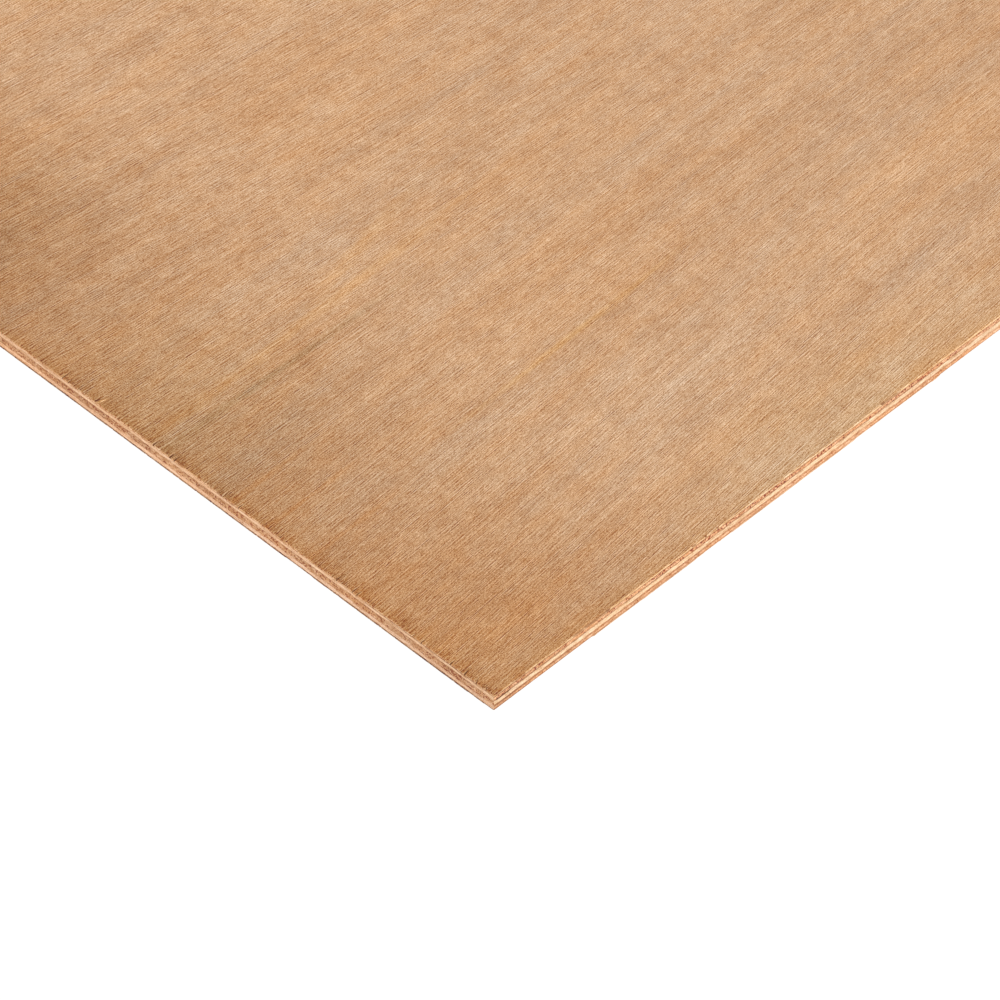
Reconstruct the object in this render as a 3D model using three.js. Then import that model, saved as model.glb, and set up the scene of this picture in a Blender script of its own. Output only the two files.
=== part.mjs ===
// Plywood sheet: five hardwood veneers glued up with their grain crossed, then
// trimmed square. Millimetres, +Z up, origin in the middle of the underside.
// X runs along the grain of the face veneer and Y across it.
import * as THREE from "three";

// Trimmed size of the sheet.
const SHEET_LENGTH = 2440;
const SHEET_WIDTH = 1220;

// Thickness of each veneer after pressing and sanding.
const FACE_THICKNESS = 0.625;
const UPPER_CROSSBAND_THICKNESS = 1.25;
const CORE_THICKNESS = 2.0;
const LOWER_CROSSBAND_THICKNESS = 1.0;
const BACK_THICKNESS = 0.625;

// Sanded faces are the smoothest, then the knife-cut veneers inside.
const SANDED = 0.65;
const KNIFE_CUT = 0.85;

function bareWood(colour, roughness) {
  return new THREE.MeshStandardMaterial({ color: colour, roughness, metalness: 0 });
}

// The veneers from the underside up, which is the order they are laid up in.
const LAY_UP = [
  {
    name: "back_veneer",
    thickness: BACK_THICKNESS,
    material: bareWood("#c0936a", SANDED),
  },
  {
    name: "lower_crossband",
    thickness: LOWER_CROSSBAND_THICKNESS,
    material: bareWood("#dba57c", KNIFE_CUT),
  },
  {
    name: "core_veneer",
    thickness: CORE_THICKNESS,
    material: bareWood("#f0cf9f", KNIFE_CUT),
  },
  {
    name: "upper_crossband",
    thickness: UPPER_CROSSBAND_THICKNESS,
    material: bareWood("#dba57c", KNIFE_CUT),
  },
  {
    name: "face_veneer",
    thickness: FACE_THICKNESS,
    material: bareWood("#cca079", SANDED),
  },
];

// The saw trims every veneer at once, so they all share this outline.
function trimmedOutline(length, width) {
  const outline = new THREE.Shape();
  outline.moveTo(-length / 2, -width / 2);
  outline.lineTo(length / 2, -width / 2);
  outline.lineTo(length / 2, width / 2);
  outline.lineTo(-length / 2, width / 2);
  outline.closePath();
  return outline;
}

// One veneer, cut to the outline, with its lower face at the given height.
function veneer({ name, thickness, material }, outline, height) {
  const geometry = new THREE.ExtrudeGeometry(outline, {
    depth: thickness,
    bevelEnabled: false,
  });
  const mesh = new THREE.Mesh(geometry, material);
  mesh.name = name;
  mesh.position.z = height;
  return mesh;
}

// Lays the veneers on each other. Heights are kept to the precision of the
// meshes, so that each veneer starts exactly where the one below it ends.
function layUp(plies, outline) {
  const sheet = new THREE.Group();
  let height = 0;
  for (const ply of plies) {
    sheet.add(veneer(ply, outline, height));
    height = Math.fround(height + Math.fround(ply.thickness));
  }
  return sheet;
}

const plywoodSheet = layUp(LAY_UP, trimmedOutline(SHEET_LENGTH, SHEET_WIDTH));
plywoodSheet.name = "plywood_sheet";

export default plywoodSheet;
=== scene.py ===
import math
import random
from collections import namedtuple

import bpy
import numpy as np
from mathutils import Matrix, Vector, noise


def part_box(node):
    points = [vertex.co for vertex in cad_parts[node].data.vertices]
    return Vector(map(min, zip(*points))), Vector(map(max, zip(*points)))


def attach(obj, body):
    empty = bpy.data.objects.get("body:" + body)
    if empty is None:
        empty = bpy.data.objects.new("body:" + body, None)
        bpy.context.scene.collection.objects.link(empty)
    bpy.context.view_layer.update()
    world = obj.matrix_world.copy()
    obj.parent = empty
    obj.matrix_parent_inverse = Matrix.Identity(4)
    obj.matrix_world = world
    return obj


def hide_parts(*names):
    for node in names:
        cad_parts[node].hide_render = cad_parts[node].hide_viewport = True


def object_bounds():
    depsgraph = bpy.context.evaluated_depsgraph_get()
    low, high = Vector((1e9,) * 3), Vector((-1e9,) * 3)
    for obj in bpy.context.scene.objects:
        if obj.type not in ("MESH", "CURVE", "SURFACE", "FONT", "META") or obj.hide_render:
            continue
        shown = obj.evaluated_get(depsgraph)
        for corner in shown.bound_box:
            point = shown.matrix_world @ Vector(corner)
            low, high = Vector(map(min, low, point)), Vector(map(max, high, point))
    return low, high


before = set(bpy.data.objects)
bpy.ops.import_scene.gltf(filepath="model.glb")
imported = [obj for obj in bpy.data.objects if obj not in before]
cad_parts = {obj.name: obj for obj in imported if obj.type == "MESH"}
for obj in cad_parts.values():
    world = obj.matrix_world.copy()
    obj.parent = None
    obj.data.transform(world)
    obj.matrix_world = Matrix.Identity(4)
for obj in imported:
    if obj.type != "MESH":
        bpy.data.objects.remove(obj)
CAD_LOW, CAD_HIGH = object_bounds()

# Lengths are in millimetres unless a name says otherwise. X and Y are counted from the
# sheet's middle and heights from its underside, as in the CAD frame.
MM = 0.001
LENGTH = (CAD_HIGH.x - CAD_LOW.x) / MM
WIDTH = (CAD_HIGH.y - CAD_LOW.y) / MM
THICKNESS = (CAD_HIGH.z - CAD_LOW.z) / MM

# ---------------------------------------------------------------- camera ----

# The near corner's top, where the photograph has it and at its scale there.
IMAGE_SIZE = 1000
CORNER_PIXEL_X = 494.0
CORNER_PIXEL_Y = 695.9
CORNER_PIXELS_PER_MM = 4.3

LENS = 288
SENSOR = 36
CAMERA_ELEVATION = math.radians(46.66)
# From the +X axis towards +Y, the way the camera looks.
CAMERA_HEADING = math.radians(44.71)
CAMERA_SIGHT_M = 100


def make_camera():
    """A long lens above the near corner, aimed along both of its edges."""
    level = Vector((math.cos(CAMERA_HEADING), math.sin(CAMERA_HEADING), 0))
    forward = level * math.cos(CAMERA_ELEVATION)
    forward.z = -math.sin(CAMERA_ELEVATION)
    right = forward.cross(Vector((0, 0, 1))).normalized()
    up = right.cross(forward)

    focal_pixels = LENS / SENSOR * IMAGE_SIZE
    distance = focal_pixels / CORNER_PIXELS_PER_MM
    aside = (CORNER_PIXEL_X - IMAGE_SIZE / 2) / CORNER_PIXELS_PER_MM
    above = (IMAGE_SIZE / 2 - CORNER_PIXEL_Y) / CORNER_PIXELS_PER_MM
    corner = Vector((-LENGTH / 2, -WIDTH / 2, THICKNESS))
    place = corner - forward * distance - right * aside - up * above

    data = bpy.data.cameras.new("camera")
    data.lens = LENS
    data.sensor_width = SENSOR
    data.clip_end = CAMERA_SIGHT_M
    camera = bpy.data.objects.new("camera", data)
    turn = Matrix((right, up, -forward)).transposed()
    camera.matrix_world = Matrix.Translation(place * MM) @ turn.to_4x4()
    bpy.context.scene.collection.objects.link(camera)
    bpy.context.scene.camera = camera


# ----------------------------------------------------------------- nodes ----


class Graph:
    """A node tree, wired by plain calls that take and give sockets."""

    def __init__(self, tree):
        self.tree = tree
        tree.nodes.clear()

    def node(self, kind, inputs=None, **settings):
        made = self.tree.nodes.new(kind)
        for setting, value in settings.items():
            setattr(made, setting, value)
        for socket, value in (inputs or {}).items():
            if isinstance(value, bpy.types.NodeSocket):
                self.tree.links.new(value, made.inputs[socket])
            else:
                made.inputs[socket].default_value = value
        return made

    def math(self, operation, *values, clamp=False):
        inputs = dict(enumerate(values))
        made = self.node("ShaderNodeMath", inputs, operation=operation, use_clamp=clamp)
        return made.outputs[0]

    def vector(self, operation, *values):
        inputs = dict(enumerate(values))
        made = self.node("ShaderNodeVectorMath", inputs, operation=operation)
        return made.outputs["Value" if operation == "DOT_PRODUCT" else "Vector"]

    def scaled(self, vector, amount):
        inputs = {"Vector": vector, "Scale": amount}
        return self.node("ShaderNodeVectorMath", inputs, operation="SCALE").outputs["Vector"]

    def noise(self, place, size, octaves=0.0):
        """Noise about zero, from -1 to 1, with features of that size."""
        stretched = self.vector("DIVIDE", place, size)
        inputs = {"Vector": stretched, "Scale": 1.0, "Detail": octaves}
        raw = self.node("ShaderNodeTexNoise", inputs).outputs["Fac"]
        return self.math("MULTIPLY_ADD", raw, 2.0, -1.0)

    def mixed(self, first, second, share):
        """A colour between two, the first where share is 0 and the second where it is 1."""
        return self.vector("MULTIPLY_ADD", self.vector("SUBTRACT", second, first), share, first)

    def ramp(self, value, start, end):
        """0 at start and 1 at end, smooth between."""
        inputs = {"Value": value, "From Min": start, "From Max": end}
        made = self.node("ShaderNodeMapRange", inputs, interpolation_type="SMOOTHSTEP")
        return made.outputs["Result"]

    def shown(self):
        """1 for rays that show a surface: to the camera, or by way of gloss or glass."""
        path = self.node("ShaderNodeLightPath")
        seen = self.math("MAXIMUM", path.outputs["Is Camera Ray"], path.outputs["Is Glossy Ray"])
        return self.math("MAXIMUM", seen, path.outputs["Is Transmission Ray"])


# ---------------------------------------------------------------- studio ----

# The sky lights the sheet at its own level, and shows as plain white.
WORLD_LEVEL = 0.55
KEY_STRENGTH = 0.815 * math.pi
KEY_SIZE = math.radians(50)
KEY_FROM = Vector((-0.39, -0.74, 0.55))

FLOOR_SIZE_M = 120
FLOOR_ALBEDO = 0.8
# What the camera sees of the floor: a lit part, which takes the shadow, over a white glow.
FLOOR_LIT_SHARE = 0.25
FLOOR_GLOW = 0.8


def make_world():
    world = bpy.data.worlds.new("studio")
    world.use_nodes = True
    graph = Graph(world.node_tree)
    strength = graph.math("MULTIPLY_ADD", graph.shown(), 1 - WORLD_LEVEL, WORLD_LEVEL)
    sky = graph.node("ShaderNodeBackground", {"Color": (1, 1, 1, 1), "Strength": strength})
    graph.node("ShaderNodeOutputWorld", {"Surface": sky.outputs[0]})
    bpy.context.scene.world = world


def make_key():
    data = bpy.data.lights.new("key", "SUN")
    data.energy = KEY_STRENGTH
    data.angle = KEY_SIZE
    key = bpy.data.objects.new("key", data)
    key.rotation_euler = KEY_FROM.to_track_quat("Z", "Y").to_euler()
    bpy.context.scene.collection.objects.link(key)


def make_floor():
    material = bpy.data.materials.new("floor")
    material.use_nodes = True
    graph = Graph(material.node_tree)
    plain = graph.node("ShaderNodeBsdfDiffuse", {"Color": (FLOOR_ALBEDO,) * 3 + (1,)})
    lit = graph.node("ShaderNodeBsdfDiffuse", {"Color": (FLOOR_LIT_SHARE,) * 3 + (1,)})
    glow = graph.node("ShaderNodeEmission", {"Strength": FLOOR_GLOW})
    seen = graph.node("ShaderNodeAddShader", {0: lit.outputs[0], 1: glow.outputs[0]})
    choice = {0: graph.shown(), 1: plain.outputs[0], 2: seen.outputs[0]}
    both = graph.node("ShaderNodeMixShader", choice)
    graph.node("ShaderNodeOutputMaterial", {"Surface": both.outputs[0]})

    half = FLOOR_SIZE_M / 2
    mesh = bpy.data.meshes.new("floor")
    corners = [(-half, -half, 0), (half, -half, 0), (half, half, 0), (-half, half, 0)]
    mesh.from_pydata(corners, [], [(0, 1, 2, 3)])
    mesh.materials.append(material)
    floor = bpy.data.objects.new("floor", mesh)
    bpy.context.scene.collection.objects.link(floor)


# ------------------------------------------------------------------ plies ----

# The plies from the top down: each one's node in the frame and its slot, the way its grain
# runs, and whether another ply is glued on above and below it.
Ply = namedtuple("Ply", "node slot grain glued_above glued_below")
PLIES = (
    Ply("face_veneer", "face_veneer", "X", False, True),
    Ply("upper_crossband", "crossband", "Y", True, True),
    Ply("core_veneer", "core_veneer", "X", True, True),
    Ply("lower_crossband", "crossband", "Y", True, True),
    Ply("back_veneer", "back_veneer", "X", True, False),
)

# The plies' edges are set out along one outline, anticlockwise from the near corner.
Side = namedtuple("Side", "name start along inward length")
HALF_LENGTH = LENGTH / 2
HALF_WIDTH = WIDTH / 2
FRONT = Side("front", (-HALF_LENGTH, -HALF_WIDTH), (1, 0), (0, 1), LENGTH)
RIGHT = Side("right", (HALF_LENGTH, -HALF_WIDTH), (0, 1), (-1, 0), WIDTH)
BACK = Side("back", (HALF_LENGTH, HALF_WIDTH), (-1, 0), (0, -1), LENGTH)
LEFT = Side("left", (-HALF_LENGTH, HALF_WIDTH), (0, -1), (1, 0), WIDTH)
SIDES = (FRONT, RIGHT, BACK, LEFT)

# Columns of points stand closer together by the near corner, where the camera is. Apart
# from the grid's, they stand on a whole number of steps along their side.
FINE_SPACING = 0.7
COARSE_SPACING = 2.6
FINE_REACH = 200
COLUMN_STEP = 0.05

# How far in from the edge each row of points lies, on an outer face and on a glued one,
# and how many rows there are on the edge between its arrises.
OUTER_INSETS = (6, 2.8, 1.7, 0.9, 0.45, 0.12, 0)
GLUED_INSETS = (6, 0)
EDGE_ROWS = 3
# By a corner the columns lean towards its mitre, so that rows never cross.
MITRE_REACH = 12
# Past the mitres a face is one plain grid, with lines about this far apart.
GRID_SIZE = 40

# The arrises are a little blunt, glue lines wave, each ply stands back here and there, and
# the saw has left the edges rough.
TOP_ARRIS_DROP = 0.1
BOTTOM_ARRIS_DROP = 0.03
WAVE_REACH = 0.05
WAVE_SIZE = 11
SETBACK_REACH = 0.06
SETBACK_SIZE = 5
SAW_REACH = 0.03
SAW_SEED = 11
SHARP_ANGLE = math.radians(35)

# How far the glue line above a ply runs over its level in the frame, by the long edges and
# by the short ones, and how far past a corner the one has given way to the other.
GLUE_RISES = {
    "upper_crossband": (0.0, 0.1),
    "core_veneer": (0.0, 0.3),
    "lower_crossband": (0.48, 0.24),
}
RISE_EASE = 8

# A tear in an arris: its place along the side, half its width there, how far in it
# reaches and how deep it goes.
Tear = namedtuple("Tear", "place half_width reach depth")

# Tears seen near the corner, by their distance from it. Across the grain they are
# splits, or chips out of the underside, and along it slivers have come away.
NEAR_SPLITS = (
    Tear(2.6, 0.15, 1.0, 0.3),
    Tear(5.8, 0.15, 1.3, 0.35),
    Tear(9.7, 0.18, 2.0, 0.5),
    Tear(10.9, 0.14, 1.0, 0.4),
    Tear(14.4, 0.2, 1.2, 0.45),
    Tear(24.0, 0.2, 1.2, 0.4),
    Tear(45.5, 0.2, 1.3, 0.45),
    Tear(47.0, 0.16, 2.0, 0.4),
    Tear(52.4, 0.2, 1.8, 0.5),
    Tear(53.9, 0.14, 1.0, 0.4),
    Tear(85.6, 0.2, 1.5, 0.5),
    Tear(107.7, 0.2, 2.2, 0.45),
    Tear(109.2, 0.35, 1.5, 0.5),
    Tear(115.0, 0.3, 1.3, 0.5),
    Tear(144.7, 0.16, 1.2, 0.4),
    Tear(146.8, 0.2, 2.0, 0.45),
)
NEAR_SLIVERS = (
    Tear(1.5, 1.3, 0.45, 0.15),
    Tear(38.2, 0.7, 0.5, 0.3),
    Tear(71.5, 0.4, 0.5, 0.25),
    Tear(75.5, 0.35, 0.5, 0.25),
    Tear(133.2, 0.7, 0.5, 0.3),
)
NEAR_UNDERSIDE_SLIVERS = (
    Tear(16.0, 17.5, 1.2, 0.42),
    Tear(42.0, 8.0, 0.8, 0.1),
    Tear(137.0, 14.0, 0.8, 0.22),
    Tear(172.0, 19.0, 1.2, 0.46),
)
NEAR_UNDERSIDE_CHIPS = (
    Tear(0.0, 9.0, 0.8, 0.13),
    Tear(0.0, 4.0, 0.8, 0.27),
    Tear(65.0, 5.0, 0.8, 0.17),
)
# Glue lines that have opened, as tears in the ply below the line, whose dark torn colour is partly painted
# shade in the gap.
OPEN_CORE = {
    "front": [
        Tear(3, 2.8, 1, 0.24),
        Tear(11, 6, 1, 0.1),
        Tear(20, 4, 1, 0.12),
        Tear(28, 3, 1, 0.12),
        Tear(51, 8, 1, 0.12),
        Tear(93, 12, 1, 0.1),
        Tear(132, 15, 1, 0.08),
    ],
}
OPEN_CROSSBAND = {"left": [Tear(WIDTH - 24, 19, 1, 0.12)]}

# At either end a tear slopes up over this share of its half width, and at most this far.
SHOULDER_SHARE = 0.4
SHOULDER_REACH = 0.8

# Scattered tears: the length of arris that has one of them, and their sizes.
SPLIT_EVERY = 8
SLIVER_EVERY = 25
SPLIT_RANGES = {"half_width": (0.1, 0.18), "reach": (0.5, 1.4), "depth": (0.1, 0.3)}
SLIVER_RANGES = {"half_width": (0.3, 4), "reach": (0.15, 0.5), "depth": (0.1, 0.3)}
TEAR_SEED = 5


def scattered(side, spacing, ranges, rng):
    """Tears of those sizes at random places along one side."""
    count = int(side.length / spacing)
    return [
        Tear(rng.uniform(0, side.length), *(rng.uniform(*ranges[name]) for name in Tear._fields[1:]))
        for _ in range(count)
    ]


def face_tears(splits, slivers, seed):
    """Every tear round an outer face: the near ones as given, and scattered ones."""
    rng = random.Random(seed)
    tears = {}
    for side in SIDES:
        across_grain = side in (LEFT, RIGHT)
        spacing = SPLIT_EVERY if across_grain else SLIVER_EVERY
        ranges = SPLIT_RANGES if across_grain else SLIVER_RANGES
        tears[side.name] = scattered(side, spacing, ranges, rng)
    tears["front"] += slivers
    tears["left"] += [tear._replace(place=WIDTH - tear.place) for tear in splits]
    return tears


def grid_lines(length):
    """Where the plain grid's lines meet a side of that length."""
    cells = round((length - 2 * MITRE_REACH) / GRID_SIZE)
    return np.linspace(MITRE_REACH, length - MITRE_REACH, cells + 1)


def shoulder(tear):
    """How long the slope is at either end of a tear."""
    return min(SHOULDER_SHARE * tear.half_width, SHOULDER_REACH)


def places_along(side, tears):
    """Where columns of points stand along one side, those of tears and of the grid included."""
    near = FINE_REACH if side in (FRONT, LEFT) else 0
    places = np.concatenate([
        np.arange(0, near, FINE_SPACING),
        np.arange(near, side.length, COARSE_SPACING),
    ])
    if side is LEFT:
        places = side.length - places
    cuts = [
        tear.place + turn * (tear.half_width - slope)
        for tear in tears
        for slope in (0, shoulder(tear))
        for turn in (-1, 1)
    ]
    places = np.concatenate([[0], places, cuts])
    places = np.unique(np.round(places / COLUMN_STEP)) * COLUMN_STEP
    places = places[(places >= 0) & (places < side.length - COLUMN_STEP)]
    lines = grid_lines(side.length)
    nearest_line = np.abs(places[:, None] - lines[None]).min(axis=1)
    return np.sort(np.concatenate([places[nearest_line > COLUMN_STEP], lines]))


def smooth_noise(points, size, kind):
    """Noise from -1 to 1 at each point of the outline, another one for each kind."""
    return np.array([noise.noise(Vector((x / size, y / size, kind))) for x, y in points])


def drops(insets, places, tears):
    """How deep the tears are, at each inset and each place along one side."""
    found = np.zeros((len(insets), len(places)))
    for tear in tears:
        from_end = tear.half_width - np.abs(places - tear.place)
        width_share = np.clip(from_end / shoulder(tear), 0, 1)
        reach_share = np.sqrt(np.clip(1 - np.array(insets) / tear.reach, 0, 1))
        found = np.maximum(found, tear.depth * np.outer(reach_share, width_share))
    return found


def rise_above(number, short_share):
    """How far the glue line above that ply runs over its level, and 0 where there is none."""
    node = PLIES[number].node if number < len(PLIES) else None
    by_long, by_short = GLUE_RISES.get(node, (0, 0))
    return by_long + (by_short - by_long) * short_share


def face_grid(height):
    """The points of the plain grid inside a face, row after row along X."""
    across = grid_lines(WIDTH) - HALF_WIDTH
    along = grid_lines(LENGTH) - HALF_LENGTH
    return [(x, y, height) for y in across for x in along]


def grid_numbers(first):
    """The numbers of the grid's points, row after row, given the first one's."""
    in_row = len(grid_lines(LENGTH))
    in_column = len(grid_lines(WIDTH))
    return [list(range(first + row * in_row, first + (row + 1) * in_row)) for row in range(in_column)]


def grid_border(numbers):
    """The numbers of the grid's points along each side in turn."""
    front = numbers[0]
    right = [row[-1] for row in numbers]
    back = numbers[-1][::-1]
    left = [row[0] for row in reversed(numbers)]
    return front, right, back, left


def cap_faces(ring, stations, first):
    """Faces from a ring of edge points in to the grid, and the grid itself, seen anticlockwise."""
    numbers = grid_numbers(first)
    meets = [
        pair
        for side_stations, side_grid in zip(stations, grid_border(numbers))
        for pair in zip(side_stations, side_grid)
    ]
    faces = []
    for (here, grid_here), (after, grid_after) in zip(meets, meets[1:] + meets[:1]):
        stretch = ring[here:after + 1] if after > here else ring[here:] + ring[:after + 1]
        inner = [grid_after] if grid_after == grid_here else [grid_after, grid_here]
        faces.append(stretch + inner)
    for low_row, high_row in zip(numbers, numbers[1:]):
        faces += [list(cell) for cell in zip(low_row, low_row[1:], high_row[1:], high_row)]
    return faces


def wall_faces(row_count, columns):
    """Faces between each ring of edge points and the next one down."""
    ring = np.arange(columns)
    after = np.roll(ring, -1)
    faces = []
    for row in range(row_count - 1):
        here = row * columns
        below = here + columns
        faces += np.stack([here + ring, below + ring, below + after, here + after], axis=1).tolist()
    return faces


def ply_rows(ply):
    """The rows of points from the top's rim to the bottom's: their insets and shares of the height."""
    above = GLUED_INSETS if ply.glued_above else OUTER_INSETS
    below = GLUED_INSETS if ply.glued_below else OUTER_INSETS
    between = [(0, 1 - row / (EDGE_ROWS + 1)) for row in range(1, EDGE_ROWS + 1)]
    rows = [(inset, 1) for inset in above] + between + [(inset, 0) for inset in reversed(below)]
    return np.array(rows, float).T


# The columns of points round a ply, with one entry for each column in every array.
Columns = namedtuple("Columns", "place start along inward lean short_share drop")


def side_columns(side, insets, tears):
    """The columns along one side."""
    places = places_along(side, tears)
    from_end = side.length - places
    from_corner = np.minimum(places, from_end)
    is_short = side in (LEFT, RIGHT)
    return Columns(
        place=places,
        start=np.array(side.start) + np.outer(places, side.along),
        along=np.tile(side.along, (len(places), 1)),
        inward=np.tile(side.inward, (len(places), 1)),
        lean=np.clip(1 - places / MITRE_REACH, 0, 1) - np.clip(1 - from_end / MITRE_REACH, 0, 1),
        short_share=is_short * np.clip(from_corner / RISE_EASE, 0, 1),
        drop=drops(insets, places, tears).T,
    )


def grid_stations(by_side):
    """For each side, the numbers of the columns that stand on the grid's lines."""
    stations = []
    first = 0
    for side, columns in zip(SIDES, by_side):
        just_before = grid_lines(side.length) - COLUMN_STEP / 2
        stations.append((first + np.searchsorted(columns.place, just_before)).tolist())
        first += len(columns.place)
    return stations


def plan_of(number, insets, columns):
    """Where the points are in plan: each row's own inset, the ply's setback and the saw's roughness."""
    rng = np.random.default_rng(SAW_SEED + number)
    setback = SETBACK_REACH * (1 + smooth_noise(columns.start, SETBACK_SIZE, number)) / 2
    rough = rng.uniform(0, SAW_REACH, (len(insets), len(setback)))
    near_edge = 1 - insets[:, None] / insets.max()
    inset = insets[:, None] + setback * near_edge + rough * (insets[:, None] == 0)
    inwards = columns.inward + columns.along * columns.lean[:, None]
    return columns.start[None] + inset[..., None] * inwards[None]


def heights_of(number, ply, bottom, top, insets, shares, columns):
    """How high the points are: glue lines wave by the edge, run level inside it, and arrises tear."""
    near_edge = 1 - insets[:, None] / insets.max()
    at_edge = insets[:, None] == 0
    wave_above = WAVE_REACH * smooth_noise(columns.start, WAVE_SIZE, number) * ply.glued_above
    wave_below = WAVE_REACH * smooth_noise(columns.start, WAVE_SIZE, number + 1) * ply.glued_below
    above = top + (wave_above + rise_above(number, columns.short_share)) * near_edge
    below = bottom + (wave_below + rise_above(number + 1, columns.short_share)) * near_edge
    if ply.glued_below:
        above = above - columns.drop.T - TOP_ARRIS_DROP * at_edge * (not ply.glued_above)
    else:
        below = below + columns.drop.T + BOTTOM_ARRIS_DROP * at_edge
    return below + (above - below) * shares[:, None]


def add_point_values(mesh, name, values):
    """An attribute with a value for each point of the rows, and 0 on the grids after them."""
    attribute = mesh.attributes.new(name, "FLOAT", "POINT")
    all_values = np.zeros(len(mesh.vertices), np.float32)
    all_values[:values.size] = values.ravel()
    attribute.data.foreach_set("value", all_values)


def make_ply(number, ply, tears):
    """A closed mesh of one ply, with its torn arrises and its wavy glue lines."""
    low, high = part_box(ply.node)
    bottom, top = low.z / MM, high.z / MM
    insets, shares = ply_rows(ply)
    by_side = [side_columns(side, insets, tears.get(side.name, ())) for side in SIDES]
    columns = Columns(*map(np.concatenate, zip(*by_side)))
    plan = plan_of(number, insets, columns)
    height = heights_of(number, ply, bottom, top, insets, shares, columns)

    stations = grid_stations(by_side)
    top_ring = np.arange(len(columns.place))
    bottom_ring = (len(insets) - 1) * len(top_ring) + top_ring
    points = np.concatenate([plan, height[..., None]], axis=2).reshape(-1, 3).tolist()
    faces = cap_faces(top_ring.tolist(), stations, len(points))
    points += face_grid(top)
    faces += [face[::-1] for face in cap_faces(bottom_ring.tolist(), stations, len(points))]
    points += face_grid(bottom)
    faces += wall_faces(len(insets), len(top_ring))

    mesh = bpy.data.meshes.new(ply.node)
    mesh.from_pydata((np.array(points) * MM).tolist(), [], faces)
    torn_rows = shares[:, None] == (1 if ply.glued_below else 0)
    add_point_values(mesh, "ply_height", (height - bottom) / (top - bottom))
    add_point_values(mesh, "torn", columns.drop.T * torn_rows)
    mesh.shade_smooth()
    mesh.set_sharp_from_angle(angle=SHARP_ANGLE)

    made = bpy.data.objects.new(ply.node + "_detailed", mesh)
    bpy.context.scene.collection.objects.link(made)
    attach(made, "root")
    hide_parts(ply.node)
    return made


# ------------------------------------------------------------------- wood ----

# Colours and their changes are in levels, from 0 to 255, as in a picture. They are added
# up as levels, and only the sum is turned into linear light.
LEVELS = 255
GAMMA = 2.2
ROUGHNESS = 0.7
# A surface faces along an axis where its normal's share of it passes from one to the other.
FACING_RAMP = (0.5, 0.8)

# A ply's colour on its outer face, on edges along its grain and across it, and where torn,
# where a dark torn colour is partly the torn wood and partly painted shade in the hollow,
# then how strongly glue, open pores and darkening by a corner show on its edges.
Look = namedtuple("Look", "outer long_grain end_grain torn glue pores browned")
LOOKS = {
    "face_veneer": Look((206, 161, 120), (229, 189, 142), (226, 176, 130), (115, 70, 40), 0.75, 1, 1),
    "upper_crossband": Look((222, 172, 132), (236, 191, 151), (218, 160, 114), (95, 52, 26), 0.85, 1.5, 1),
    "core_veneer": Look((217, 184, 146), (227, 191, 153), (204, 151, 106), (95, 52, 26), 0.85, 1, 0.2),
    "lower_crossband": Look((222, 172, 132), (240, 192, 153), (218, 162, 118), (95, 52, 26), 0.45, 0.5, 1),
    # The back veneer's dark end grain is partly its own tone and partly painted shade along the foot of
    # the edge, by the floor.
    "back_veneer": Look((190, 146, 106), (214, 169, 130), (160, 118, 82), (240, 198, 162), 0.8, 1, 1),
}
# Glue lines are dark on the long edges and hardly show on the short ones. Each line fades
# out between these distances from it, is fainter and stronger by turns, and is strongest by
# a corner.
GLUE_LEVELS = (120, 66, 30)
GLUE_RAMP = (0.225, 0.075)
GLUE_ON_SHORT_EDGE = 0.25
GLUE_STRENGTH = 0.65
GLUE_STRENGTH_CHANGE = 0.7
GLUE_MORE_BY_CORNER = 0.6
GLUE_PATCH_SIZE = 14
# A tear has its full colour from this depth on; in the darker plies that colour is partly painted shade,
# fullest where the tear is deep.
TORN_SHADE_DEPTH = 0.35

# Where the left end is along the grain: on no noise's lattice, since that would show as a comb.
GRAIN_START = 37.7
# How far the grain strays sideways, in waves along and across it.
GRAIN_WAVE_REACH = 15
GRAIN_WAVE_LENGTH = 900
GRAIN_WAVE_WIDTH = 380
GRAIN_WAVE_START = (60 + GRAIN_START, 200)
STRAY_REACH = 14
STRAY_SIZE = (900, 260, 260)

Streaks = namedtuple("Streaks", "length width levels")

# Waves of noise along the grain, by their length, their width and their change in levels.
# Specks and hairlines only colour the wood, and fibres stand up from it as well. The
# hairlines are taken off again a little beside them, which keeps them fine and even.
SPECKS = [
    Streaks(0.3, 0.25, 60),
    Streaks(0.45, 0.4, 32),
    Streaks(1.5, 0.25, 27),
    Streaks(2.5, 1.2, 9),
]
HAIRLINES = [
    Streaks(3, 0.25, 20),
    Streaks(6, 0.25, 24),
    Streaks(15, 0.25, 29),
]
HAIRLINE_SPACING = (0, 0.2, 0)
FIBRES = [
    Streaks(3, 0.35, 14),
    Streaks(6, 0.25, 15),
    Streaks(60, 0.25, 17),
]
# A fibre's height for each of its levels.
FIBRE_HEIGHT = 0.0018
FIGURE_TINT = (0.8, 1.0, 1.12)
# Dark streaks go further than light ones by this share for each level, and a sawn edge
# shows this share of the figure.
DARK_BIAS = 0.004
FIGURE_ON_EDGE = 0.6

# Broader bands are lighter or darker, and blushes redder or paler.
BANDS = [
    Streaks(3, 2.8, 9),
    Streaks(8, 8, 8),
    Streaks(60, 1, 7),
    Streaks(25, 8, 6),
    Streaks(100, 9, 7),
    Streaks(300, 45, 8),
]
BLUSHES = [
    Streaks(6, 3, 4.6),
    Streaks(25, 5, 4.4),
    Streaks(100, 12, 7.6),
]
BAND_TINT = (0.84, 1.04, 1.12)
BLUSH_TINT = (-0.77, -0.07, 0.64)

# End grain is mottled, and has open pores, which gather in patches. Each ramp from here on
# is the range of noise over which a mark comes in.
MOTTLE_SIZE = (8, 1.7, 0.6)
MOTTLE_LEVELS = (36, 44, 50)
PORE_SIZE = (5, 0.5, 0.4)
PORE_RAMP = (0.12, 0.36)
PORE_LEVELS = (-60, -80, -80)
PORE_PATCH_SIZE = 14
PORE_PATCH_SHARE = 0.35
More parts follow.
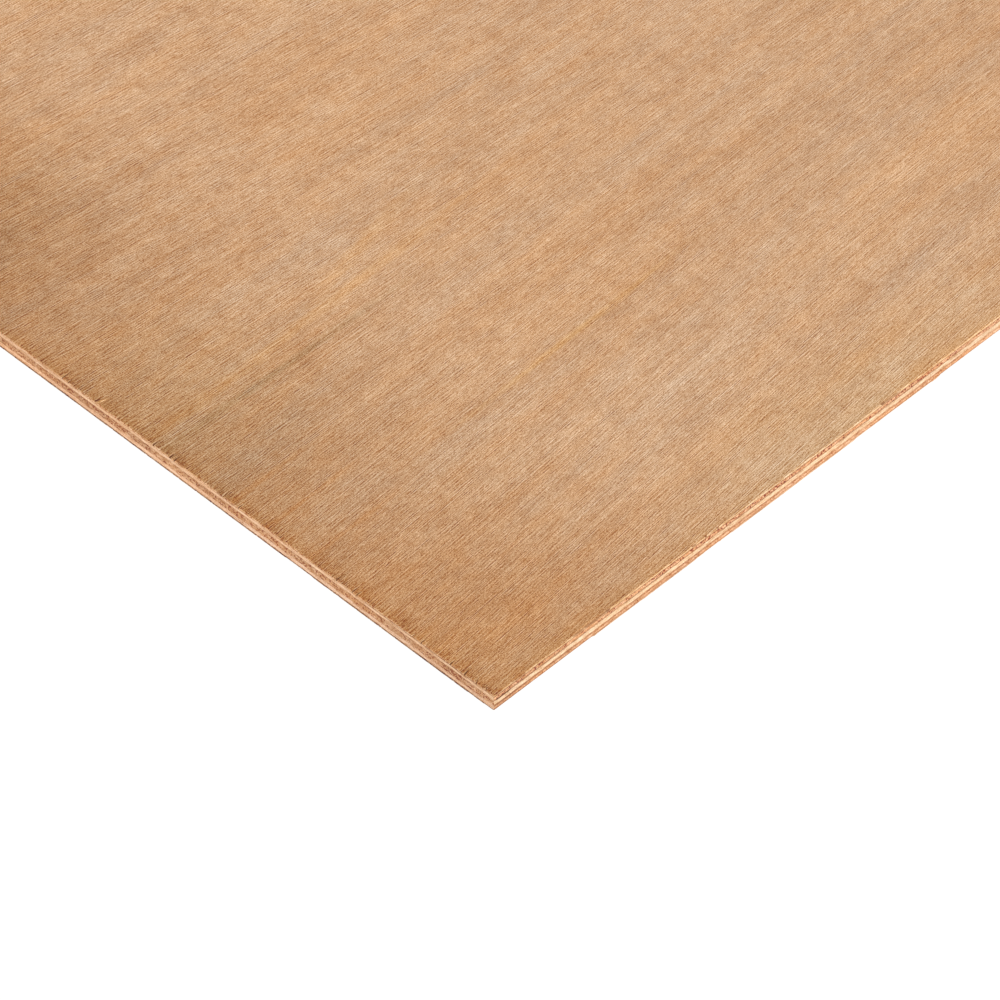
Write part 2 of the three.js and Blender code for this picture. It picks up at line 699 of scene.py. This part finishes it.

# The face is painted darker this far in from its short ends, a painted shade where less
# light and sheen reach it, and the sawn edges are darker, with stronger glue, this far from a corner.
SHORT_END_SHADE_REACH = 72
CORNER_REACH = 72
SHORT_END_SHADE_LEVELS = (-23, -28, -32)
EDGE_DARKER_BY_CORNER_LEVELS = (-13, -12, -12)
# All the face's rim is a little darker, and by the short ends the saw has torn fibres out
# and left short dark strokes in patches.
RIM_REACH = 5
RIM_LEVELS = (-4, -7, -12)
STROKE_REACH = 4
STROKE_SIZE = (1.5, 0.22, 0.22)
STROKE_RAMP = (0.1, 0.35)
STROKE_LEVELS = (-44, -58, -60)
STROKE_PATCH_SIZE = 6
STROKE_PATCH_RAMP = (-0.7, 0.3)

# Stains in the face by the near corner, measured from it: each one's middle, how far it
# leans across for each millimetre along, half its length and width, and its change in
# levels. Their rims are ragged along the grain. The last two are a lifted splinter's
# painted highlight, a light streak where it catches the light, and its painted shadow.
FaceMark = namedtuple("FaceMark", "along across slope half_length half_width levels")
STAINS_AND_PAINTED_LIGHT = (
    FaceMark(66, 119.3, 0.05, 85, 3.0, (4, -1, -9)),
    FaceMark(8, 117.5, 0.05, 26, 3.0, (-2, -9, -16)),
    FaceMark(84, 128, 0.24, 36, 3.4, (6, 1, -7)),
    FaceMark(35, 111.5, 0.0, 70, 2.2, (-15, -10, -9)),
    FaceMark(100, 69.5, 0.045, 60, 1.7, (9, 4, -8)),
    FaceMark(12, 62, 0.02, 34, 1.3, (3, -4, -11)),
    FaceMark(10, 76, 0.02, 32, 1.3, (3, -4, -11)),
    FaceMark(8, 88, 0.02, 30, 1.5, (3, -4, -11)),
    FaceMark(8, 12, 0.0, 40, 30, (7, 4, 0)),
    FaceMark(10, 38, 0.0, 36, 18, (0, -2, -4)),
    FaceMark(8, 115, 0.0, 50, 55, (-4, 0, 1)),
    # Painted shade: the face's darkening by its short end, carried further in here.
    FaceMark(14, 202, 0.0, 60, 44, (-14, -15, -17)),
    FaceMark(130, 8, 0.0, 90, 22, (4, 6, 4)),
    FaceMark(1.5, 134.2, -0.24, 2.2, 0.45, (75, 72, 62)),
    FaceMark(0.9, 135.1, -0.35, 1.6, 0.5, (-75, -80, -80)),
)
MARK_RAGGED = 0.35
MARK_GRAIN = (14, 1.4, 1.4)


# What is known of the point that is shaded, as sockets: its place in the sheet and in the
# wood, its distances from the nearest short end and long side, and the shares that it is by
# a corner, on an outer face, on an edge, on a short edge, and cut across the grain.
Spot = namedtuple("Spot", "place grain from_end from_side by_corner outer edge short_edge end_on")


def sum_of(graph, streaks, place):
    """Those streaks added up, as a change in levels."""
    total = 0.0
    for streak in streaks:
        waves = graph.noise(place, (streak.length, streak.width, streak.width))
        total = graph.math("MULTIPLY_ADD", waves, streak.levels, total)
    return total


def stains_and_painted_light(graph, grain, place):
    """The change in levels that the stains, and a lifted splinter's painted highlight and shadow, make to
    the face.
    """
    ragged = graph.noise(grain, MARK_GRAIN, octaves=1)
    total = (0.0, 0.0, 0.0)
    for face_mark in STAINS_AND_PAINTED_LIGHT:
        to_middle = (HALF_LENGTH - face_mark.along, HALF_WIDTH - face_mark.across, 0)
        from_middle = graph.vector("ADD", place, to_middle)
        lean = (-face_mark.slope / face_mark.half_width, 1 / face_mark.half_width, 0)
        along = graph.vector("DOT_PRODUCT", from_middle, (1 / face_mark.half_length, 0, 0))
        across = graph.vector("DOT_PRODUCT", from_middle, lean)
        across_squared = graph.math("MULTIPLY", across, across)
        far = graph.math("SQRT", graph.math("MULTIPLY_ADD", along, along, across_squared))
        share = graph.ramp(graph.math("MULTIPLY_ADD", ragged, MARK_RAGGED, far), 1.0, 0.0)
        total = graph.vector("MULTIPLY_ADD", share, face_mark.levels, total)
    return total


def grain_place(graph, ply, number, place):
    """Where a point is in the wood, in millimetres, with X along the grain."""
    split = graph.node("ShaderNodeSeparateXYZ", {0: place})
    along, across = split.outputs["X"], split.outputs["Y"]
    if ply.grain == "Y":
        along, across = across, along
    along = graph.math("ADD", along, HALF_LENGTH + GRAIN_START)
    across = graph.math("ADD", across, HALF_WIDTH + number * WIDTH)

    start_along, start_across = GRAIN_WAVE_START
    from_along = graph.math("SUBTRACT", along, start_along)
    from_across = graph.math("SUBTRACT", across, start_across)
    phase_along = graph.math("MULTIPLY", from_along, math.tau / GRAIN_WAVE_LENGTH)
    phase_across = graph.math("MULTIPLY", from_across, math.tau / GRAIN_WAVE_WIDTH)
    wave = graph.math("MULTIPLY", graph.math("SINE", phase_along), graph.math("COSINE", phase_across))
    across = graph.math("MULTIPLY_ADD", wave, GRAIN_WAVE_REACH, across)
    wander = graph.noise(place, STRAY_SIZE)
    across = graph.math("MULTIPLY_ADD", wander, STRAY_REACH, across)
    # Heights are counted from the face, so that it lies on a plane of every noise's lattice:
    # there the streaks are at their finest.
    height = graph.math("SUBTRACT", split.outputs["Z"], THICKNESS)
    return graph.node("ShaderNodeCombineXYZ", {0: along, 1: across, 2: height}).outputs[0]


def facing_share(graph, along_axis):
    """1 where a normal runs along an axis, either way, and 0 where it runs across it."""
    return graph.ramp(graph.math("ABSOLUTE", along_axis), *FACING_RAMP)


def spot_of(graph, ply, number):
    """Where the shaded point is and which way it faces."""
    where = graph.node("ShaderNodeTexCoord")
    place = graph.scaled(where.outputs["Object"], 1 / MM)
    split = graph.node("ShaderNodeSeparateXYZ", {0: place})
    from_end = graph.math("SUBTRACT", HALF_LENGTH, graph.math("ABSOLUTE", split.outputs["X"]))
    from_side = graph.math("SUBTRACT", HALF_WIDTH, graph.math("ABSOLUTE", split.outputs["Y"]))
    from_corner = graph.math("MAXIMUM", from_end, from_side)
    facing = graph.node("ShaderNodeSeparateXYZ", {0: where.outputs["Normal"]})
    outer = facing_share(graph, facing.outputs["Z"])
    return Spot(
        place=place,
        grain=grain_place(graph, ply, number, place),
        from_end=from_end,
        from_side=from_side,
        by_corner=graph.math("MULTIPLY_ADD", from_corner, -1 / CORNER_REACH, 1.0, clamp=True),
        outer=outer,
        edge=graph.math("SUBTRACT", 1.0, outer),
        short_edge=facing_share(graph, facing.outputs["X"]),
        end_on=facing_share(graph, facing.outputs[ply.grain]),
    )


def plain_tone(graph, look, spot):
    """The wood's tone before its figure: darker on the edges by a corner."""
    tone = graph.mixed(look.long_grain, look.end_grain, spot.end_on)
    tone = graph.mixed(tone, look.outer, spot.outer)
    browned = graph.math("MULTIPLY", spot.by_corner, graph.math("MULTIPLY", spot.edge, look.browned))
    return graph.vector("MULTIPLY_ADD", browned, EDGE_DARKER_BY_CORNER_LEVELS, tone)


def face_levels(graph, spot):
    """What the painted shade by the short ends, the rim, torn fibres, stains and a lifted splinter's
    painted highlight and shadow change on the face.
    """
    # Painted shade: the face is darker by its short ends, where less light and sheen reach it.
    browned = graph.math("MULTIPLY_ADD", spot.from_end, -1 / SHORT_END_SHADE_REACH, 1.0, clamp=True)
    rim = graph.ramp(graph.math("MINIMUM", spot.from_end, spot.from_side), RIM_REACH, 0.0)
    gathered = graph.ramp(graph.noise(spot.place, (STROKE_PATCH_SIZE,) * 3), *STROKE_PATCH_RAMP)
    strokes = graph.ramp(graph.noise(spot.grain, STROKE_SIZE), *STROKE_RAMP)
    strokes = graph.math("MULTIPLY", strokes, gathered)
    strokes = graph.math("MULTIPLY", strokes, graph.ramp(spot.from_end, STROKE_REACH, 0.0))
    change = graph.scaled(SHORT_END_SHADE_LEVELS, browned)
    change = graph.vector("MULTIPLY_ADD", rim, RIM_LEVELS, change)
    change = graph.vector("MULTIPLY_ADD", strokes, STROKE_LEVELS, change)
    return graph.vector("ADD", change, stains_and_painted_light(graph, spot.grain, spot.place))


def figure_levels(graph, grain, fibres):
    """The fine figure, in levels: fibres, specks and hairlines, with the dark ones darker still."""
    beside = graph.vector("ADD", grain, HAIRLINE_SPACING)
    hairlines = graph.math("SUBTRACT", sum_of(graph, HAIRLINES, grain), sum_of(graph, HAIRLINES, beside))
    specks = sum_of(graph, SPECKS, grain)
    figure = graph.math("ADD", graph.math("ADD", specks, fibres), hairlines)
    bias = graph.math("MULTIPLY_ADD", figure, -DARK_BIAS, 1.0)
    return graph.math("MULTIPLY", figure, bias)


def figured(graph, spot, fibres, tone):
    """That tone with the figure, bands and blushes of the grain."""
    edge_calm = graph.math("MULTIPLY_ADD", spot.edge, FIGURE_ON_EDGE - 1, 1.0)
    figure = graph.math("MULTIPLY", figure_levels(graph, spot.grain, fibres), edge_calm)
    tone = graph.vector("MULTIPLY_ADD", figure, FIGURE_TINT, tone)
    tone = graph.vector("MULTIPLY_ADD", sum_of(graph, BANDS, spot.grain), BAND_TINT, tone)
    return graph.vector("MULTIPLY_ADD", sum_of(graph, BLUSHES, spot.grain), BLUSH_TINT, tone)


def end_grain_levels(graph, look, spot):
    """What mottles and open pores change on end grain."""
    patches = graph.noise(spot.place, (PORE_PATCH_SIZE,) * 3)
    pores = graph.math("MULTIPLY_ADD", patches, PORE_PATCH_SHARE, graph.noise(spot.grain, PORE_SIZE))
    pores = graph.math("MULTIPLY", graph.ramp(pores, *PORE_RAMP), look.pores)
    mottles = graph.scaled(MOTTLE_LEVELS, graph.noise(spot.grain, MOTTLE_SIZE))
    return graph.vector("MULTIPLY_ADD", pores, PORE_LEVELS, mottles)


def glue_share(graph, ply, look, spot):
    """1 on a glue line and 0 away from it, fainter in stretches and on the short edges."""
    low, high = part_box(ply.node)
    thickness = (high.z - low.z) / MM
    height = graph.node("ShaderNodeAttribute", attribute_name="ply_height").outputs["Fac"]
    above_glue = graph.math("MULTIPLY", height, thickness)
    below_glue = graph.math("SUBTRACT", thickness, above_glue)
    if not ply.glued_above:
        nearest = above_glue
    elif not ply.glued_below:
        nearest = below_glue
    else:
        nearest = graph.math("MINIMUM", above_glue, below_glue)
    line = graph.ramp(nearest, *GLUE_RAMP)
    patches = graph.noise(spot.place, (GLUE_PATCH_SIZE,) * 3, octaves=2)
    strength = graph.math("MULTIPLY_ADD", patches, GLUE_STRENGTH_CHANGE, GLUE_STRENGTH, clamp=True)
    glue = graph.math("MULTIPLY_ADD", spot.by_corner, GLUE_MORE_BY_CORNER, look.glue)
    strength = graph.math("MULTIPLY", strength, glue, clamp=True)
    edge_share = graph.math("MULTIPLY_ADD", spot.short_edge, GLUE_ON_SHORT_EDGE - 1, 1.0)
    edge_share = graph.math("MULTIPLY", edge_share, spot.edge)
    return graph.math("MULTIPLY", graph.math("MULTIPLY", line, strength), edge_share)


def torn_and_shaded_share(graph):
    """0 on whole wood and 1 where a tear is deep: the share of the torn colour, which is partly painted
    shade.
    """
    depth = graph.node("ShaderNodeAttribute", attribute_name="torn").outputs["Fac"]
    return graph.math("MULTIPLY", depth, 1 / TORN_SHADE_DEPTH, clamp=True)


def ply_wood(ply, number):
    """The wood of one ply: its outer face, edges along and across the grain, glue and tears."""
    look = LOOKS[ply.node]
    material = bpy.data.materials.new(ply.node + "_wood")
    material.use_nodes = True
    graph = Graph(material.node_tree)
    spot = spot_of(graph, ply, number)
    fibres = sum_of(graph, FIBRES, spot.grain)

    tone = plain_tone(graph, look, spot)
    if ply.node == "face_veneer":
        tone = graph.vector("MULTIPLY_ADD", face_levels(graph, spot), spot.outer, tone)
    tone = figured(graph, spot, fibres, tone)
    end_grain = graph.math("MULTIPLY", spot.end_on, spot.edge)
    tone = graph.vector("MULTIPLY_ADD", end_grain_levels(graph, look, spot), end_grain, tone)
    tone = graph.mixed(tone, GLUE_LEVELS, glue_share(graph, ply, look, spot))
    # Tears take their torn colour, in the darker plies partly painted shade in the hollow.
    tone = graph.mixed(tone, look.torn, torn_and_shaded_share(graph))

    scaled_tone = graph.scaled(tone, 1 / LEVELS)
    colour = graph.node("ShaderNodeGamma", {"Color": scaled_tone, "Gamma": GAMMA}).outputs[0]
    height = graph.math("MULTIPLY", fibres, FIBRE_HEIGHT * MM)
    bumped = graph.node("ShaderNodeBump", {"Height": height, "Distance": 1.0}).outputs[0]
    inputs = {"Base Color": colour, "Roughness": ROUGHNESS, "Normal": bumped}
    surface = graph.node("ShaderNodeBsdfPrincipled", inputs)
    graph.node("ShaderNodeOutputMaterial", {"Surface": surface.outputs[0]})
    return material


make_camera()
make_world()
make_key()
make_floor()

FACE_TEARS = face_tears(NEAR_SPLITS, NEAR_SLIVERS, TEAR_SEED)
BACK_TEARS = face_tears(NEAR_UNDERSIDE_CHIPS, NEAR_UNDERSIDE_SLIVERS, TEAR_SEED + 1)
TEARS = {
    "face_veneer": FACE_TEARS,
    "upper_crossband": OPEN_CROSSBAND,
    "core_veneer": OPEN_CORE,
    "back_veneer": BACK_TEARS,
}
for number, ply in enumerate(PLIES):
    made = make_ply(number, ply, TEARS.get(ply.node, {}))
    made.data.materials.append(ply_wood(ply, number))

bpy.context.scene.view_settings.view_transform = "Standard"
